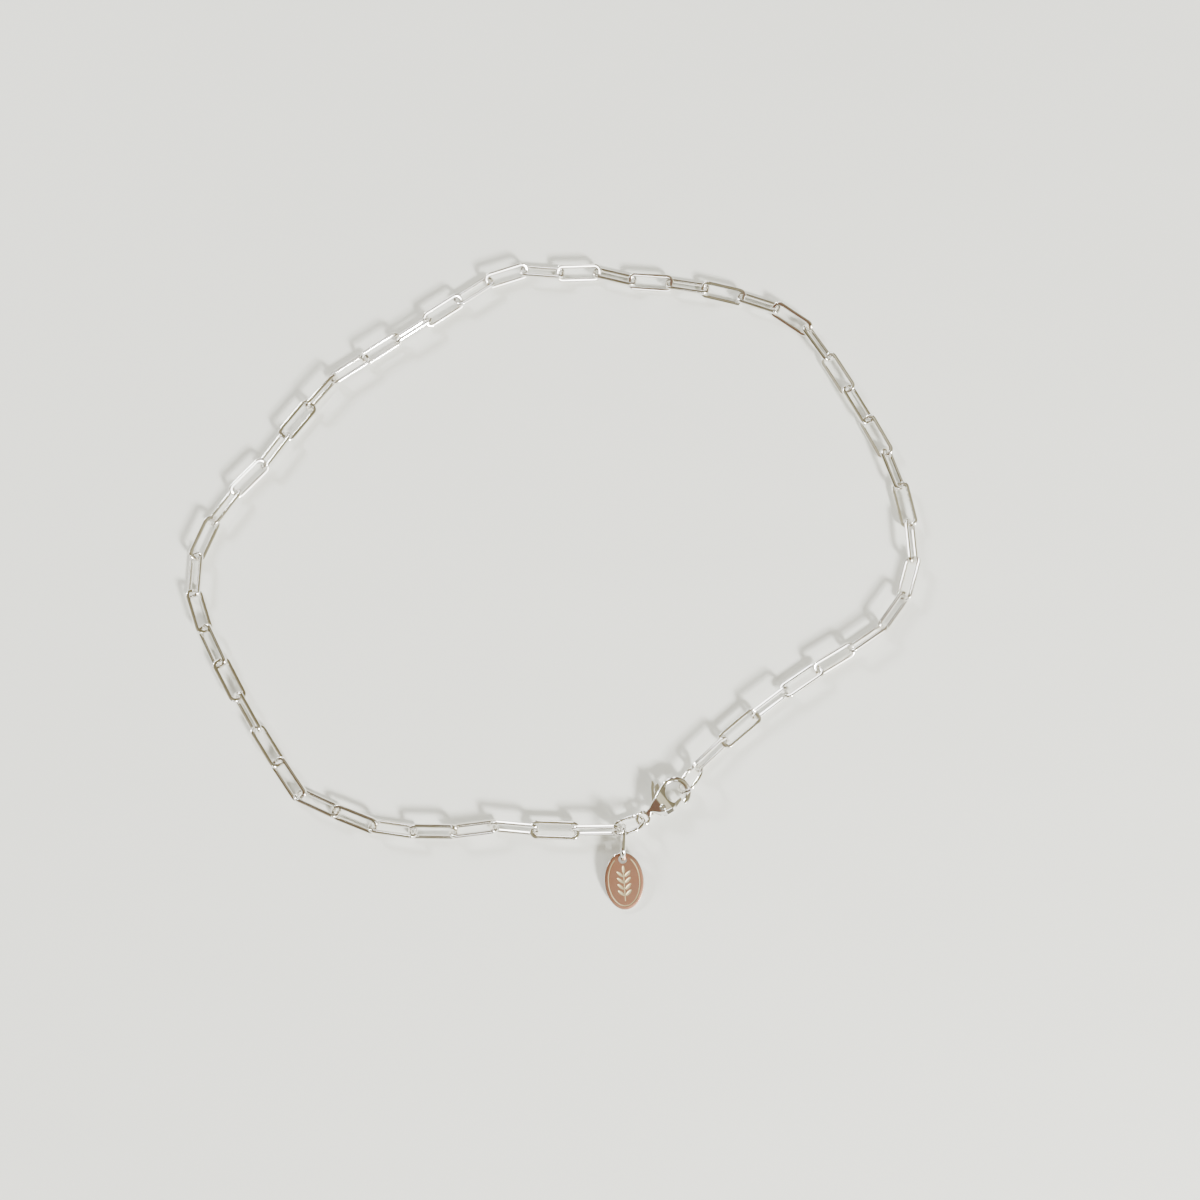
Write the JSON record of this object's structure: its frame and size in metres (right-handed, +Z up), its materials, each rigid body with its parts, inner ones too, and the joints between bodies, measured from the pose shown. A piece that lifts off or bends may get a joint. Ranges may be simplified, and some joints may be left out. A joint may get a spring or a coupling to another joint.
{
  "type": "chain anklet",
  "caption": "Silver anklet of long rectangular links with a lobster clasp and a small oval engraved tag, lying in an open loop.",
  "frame": {"origin": "on the table, under the middle of the whole anklet's box", "axes": "+X along the loop's longest extent, +Y from the tag towards the far side of the loop, +Z up from the table"},
  "size_m": [0.09, 0.0814, 0.0034],
  "materials": {
    "silver_links": "polished",
    "silver_findings": "polished",
    "rose_tag": "polished"
  },
  "bodies": {
    "anklet": {"link_chain": "silver_links", "jump_ring_tail": "silver_findings", "jump_ring_hook": "silver_findings", "tag_ring": "silver_findings", "tag": "rose_tag", "clasp_body": "silver_findings", "clasp_pin": "silver_findings"},
    "lever": {"clasp_lever": "silver_findings"}
  },
  "joints": [
    {"name": "lever_hinge", "type": "hinge", "parent": "anklet", "child": "lever", "pos_m": [0.01299, -0.02905, 0.00119], "axis": [0, 0, 1], "range_deg": [0, 25], "stiffness_Nm_per_rad": 0.002, "springref_deg": -17.19}
  ]
}
